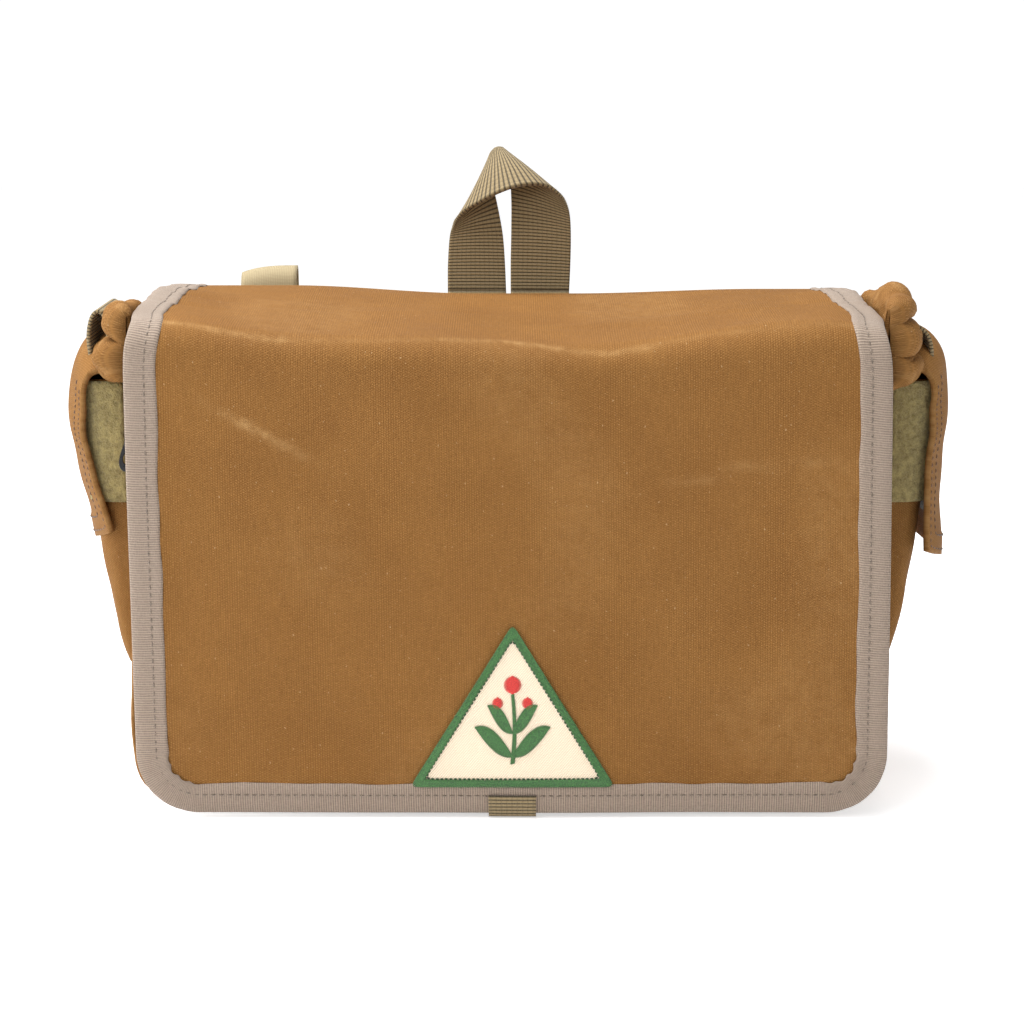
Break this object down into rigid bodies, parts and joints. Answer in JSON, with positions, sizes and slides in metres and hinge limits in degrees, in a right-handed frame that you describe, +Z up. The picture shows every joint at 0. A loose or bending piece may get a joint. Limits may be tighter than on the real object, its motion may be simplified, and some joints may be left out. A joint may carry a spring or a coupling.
{
  "type": "canvas tool bag",
  "caption": "Waxed-canvas tool bag with a wrap-over flap, lidded end pockets, webbing carry handle and rear straps.",
  "frame": {"origin": "middle of the bottom's underside", "axes": "+X along the bag's width to the right seen from the front, -Y out of the front, +Z up"},
  "size_m": [0.368, 0.1708, 0.2616],
  "materials": {
    "canvas": "waxed cotton duck, tobacco tan, satin",
    "binding": "grosgrain, taupe, matte",
    "webbing": "ribbed webbing, olive brown",
    "loop_tape": "brushed loop tape, pale olive",
    "hook_tape": "hook tape, dark olive",
    "board": "stiff sheet, black",
    "zip_tape": "woven zip tape, black",
    "zip_plastic": "moulded coil, black",
    "zip_metal": "enamelled, black",
    "patch_ground": "woven twill, cream",
    "green_thread": "embroidery thread, green",
    "red_thread": "embroidery thread, red"
  },
  "bodies": {
    "bag": {"front_panel": "canvas", "back_panel": "canvas", "left_gusset": "canvas", "right_gusset": "canvas", "bottom_boot": "canvas", "base_board": "board", "back_board": "board", "left_collar": "canvas", "right_collar": "canvas", "front_pocket_panel": "canvas", "zip_tapes": "zip_tape", "zip_coil": "zip_plastic", "zip_stops": "zip_metal", "front_loop_strip": "loop_tape", "left_pocket_pouch": "canvas", "right_pocket_pouch": "canvas", "left_pocket_loop_band": "loop_tape", "right_pocket_loop_band": "loop_tape", "left_pocket_yoke": "canvas", "right_pocket_yoke": "canvas", "left_lash_loop": "webbing", "right_lash_loop": "webbing", "flap_root_strip": "canvas", "handle_feet": "webbing", "left_strap_anchor": "loop_tape", "right_strap_anchor": "loop_tape", "left_strap_landing": "loop_tape", "right_strap_landing": "loop_tape"},
    "flap_top": {"flap_back_bend": "canvas", "flap_top_panel": "canvas", "flap_top_binding": "binding"},
    "flap_front": {"flap_crest_bend": "canvas", "flap_front_panel": "canvas", "flap_front_binding": "binding", "flap_hook_strip": "hook_tape", "flap_tab": "webbing", "patch_ground": "patch_ground", "patch_border": "green_thread", "patch_leaves": "green_thread", "patch_berries": "red_thread"},
    "handle": {"carry_handle": "webbing"},
    "left_pocket_lid": {"left_pocket_flap": "canvas", "left_pocket_hook_tape": "hook_tape"},
    "right_pocket_lid": {"right_pocket_flap": "canvas", "right_pocket_hook_tape": "hook_tape"},
    "slider": {"zip_slider": "zip_metal"},
    "pull": {"zip_pull": "zip_metal"},
    "left_strap": {"left_strap_band": "loop_tape"},
    "right_strap": {"right_strap_band": "loop_tape"}
  },
  "joints": [
    {"name": "flap_open", "type": "hinge", "parent": "bag", "child": "flap_top", "pos_m": [0, 0.067, 0.19], "axis": [-1, 0, 0], "range_deg": [0, 80], "deforming": ["flap_back_bend"]},
    {"name": "flap_lift", "type": "hinge", "parent": "flap_top", "child": "flap_front", "pos_m": [0, -0.0663, 0.187], "axis": [-1, 0, 0], "range_deg": [0, 85], "deforming": ["flap_crest_bend"]},
    {"name": "handle_fold", "type": "hinge", "parent": "bag", "child": "handle", "pos_m": [0, 0.07585, 0.198], "axis": [-1, 0, 0], "range_deg": [-65, 80], "stiffness_Nm_per_rad": 0.02},
    {"name": "left_pocket_open", "type": "hinge", "parent": "bag", "child": "left_pocket_lid", "pos_m": [-0.177, 0, 0.185], "axis": [0, 1, 0], "range_deg": [0, 100]},
    {"name": "right_pocket_open", "type": "hinge", "parent": "bag", "child": "right_pocket_lid", "pos_m": [0.177, 0, 0.185], "axis": [0, -1, 0], "range_deg": [0, 100]},
    {"name": "zip_run", "type": "slide", "parent": "bag", "child": "slider", "axis": [1, 0, 0], "range_m": [0, 0.28]},
    {"name": "pull_swing", "type": "hinge", "parent": "slider", "child": "pull", "pos_m": [-0.1465, -0.0713, 0.1585], "axis": [0, 1, 0], "range_deg": [-45, 60]},
    {"name": "left_strap_swing", "type": "hinge", "parent": "bag", "child": "left_strap", "pos_m": [-0.109, 0.0705, 0.18], "axis": [1, 0, 0], "range_deg": [0, 5]},
    {"name": "right_strap_swing", "type": "hinge", "parent": "bag", "child": "right_strap", "pos_m": [0.109, 0.0705, 0.18], "axis": [1, 0, 0], "range_deg": [0, 25]}
  ]
}
